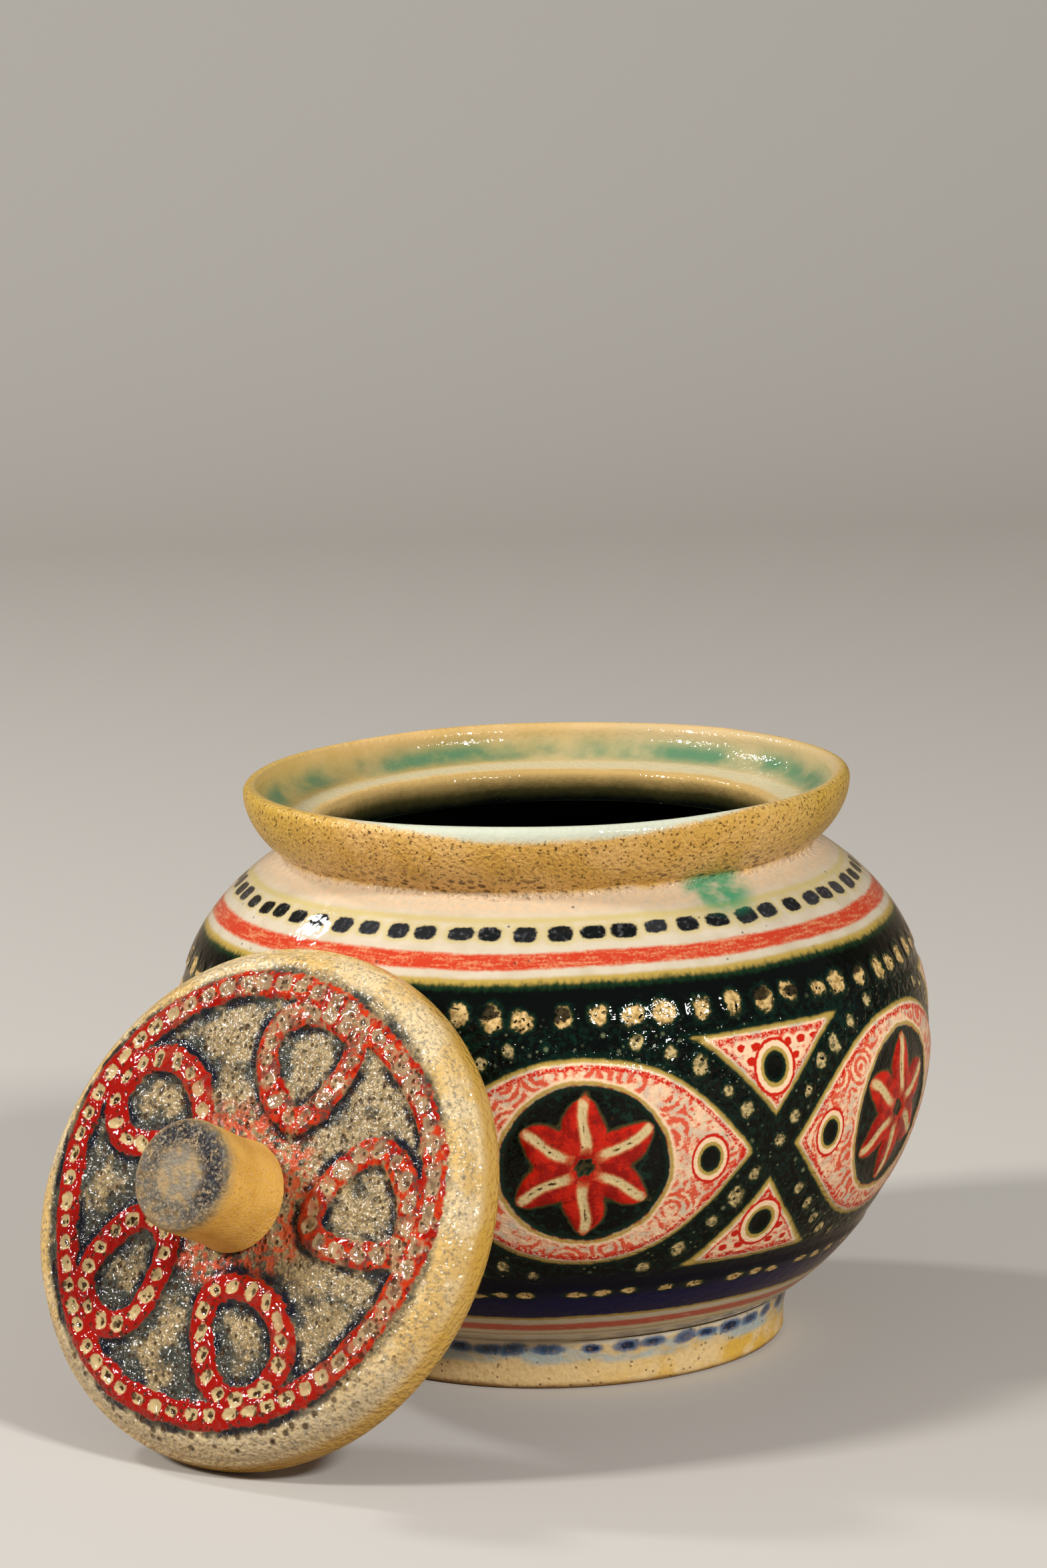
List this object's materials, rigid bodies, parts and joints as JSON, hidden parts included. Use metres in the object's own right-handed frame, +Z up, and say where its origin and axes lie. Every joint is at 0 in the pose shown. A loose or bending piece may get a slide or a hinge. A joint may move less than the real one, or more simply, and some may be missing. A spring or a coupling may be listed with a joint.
{
  "type": "sugar jar",
  "caption": "Round-bellied glazed stoneware sugar jar with a flared collar and a domed loose lid with a stub knob, the lid off and leaning on the jar.",
  "frame": {"origin": "centre of the flat underside of the foot, on the table", "axes": "+Z up along the jar's axis; the lid leans against the -Y side of the belly, its outside facing -Y and up"},
  "size_m": [0.13, 0.1717, 0.0982],
  "materials": {
    "foot_glaze": "glossy cream and mustard glaze with a blue wash, bare clay underneath",
    "bowl_glaze": "high gloss painted glaze: black-green ground, cream panels, brick red and blue bands",
    "collar_glaze": "pitted mustard glaze, glassy at the lip and inside",
    "lid_glaze": "pitted glossy glaze over raised red ribbon ornament, mustard edge",
    "knob_glaze": "matte mustard glaze with a glossy speckled grey top"
  },
  "bodies": {
    "jar": {"foot": "foot_glaze", "bowl_lower": "bowl_glaze", "bowl_upper": "bowl_glaze", "collar": "collar_glaze"},
    "lid": {"lid_plate": "lid_glaze", "lid_knob": "knob_glaze"}
  },
  "joints": [
    {"name": "lid_lift", "type": "slide", "parent": "jar", "child": "lid", "axis": [0, 0, 1], "range_m": [0, 0.12]}
  ]
}
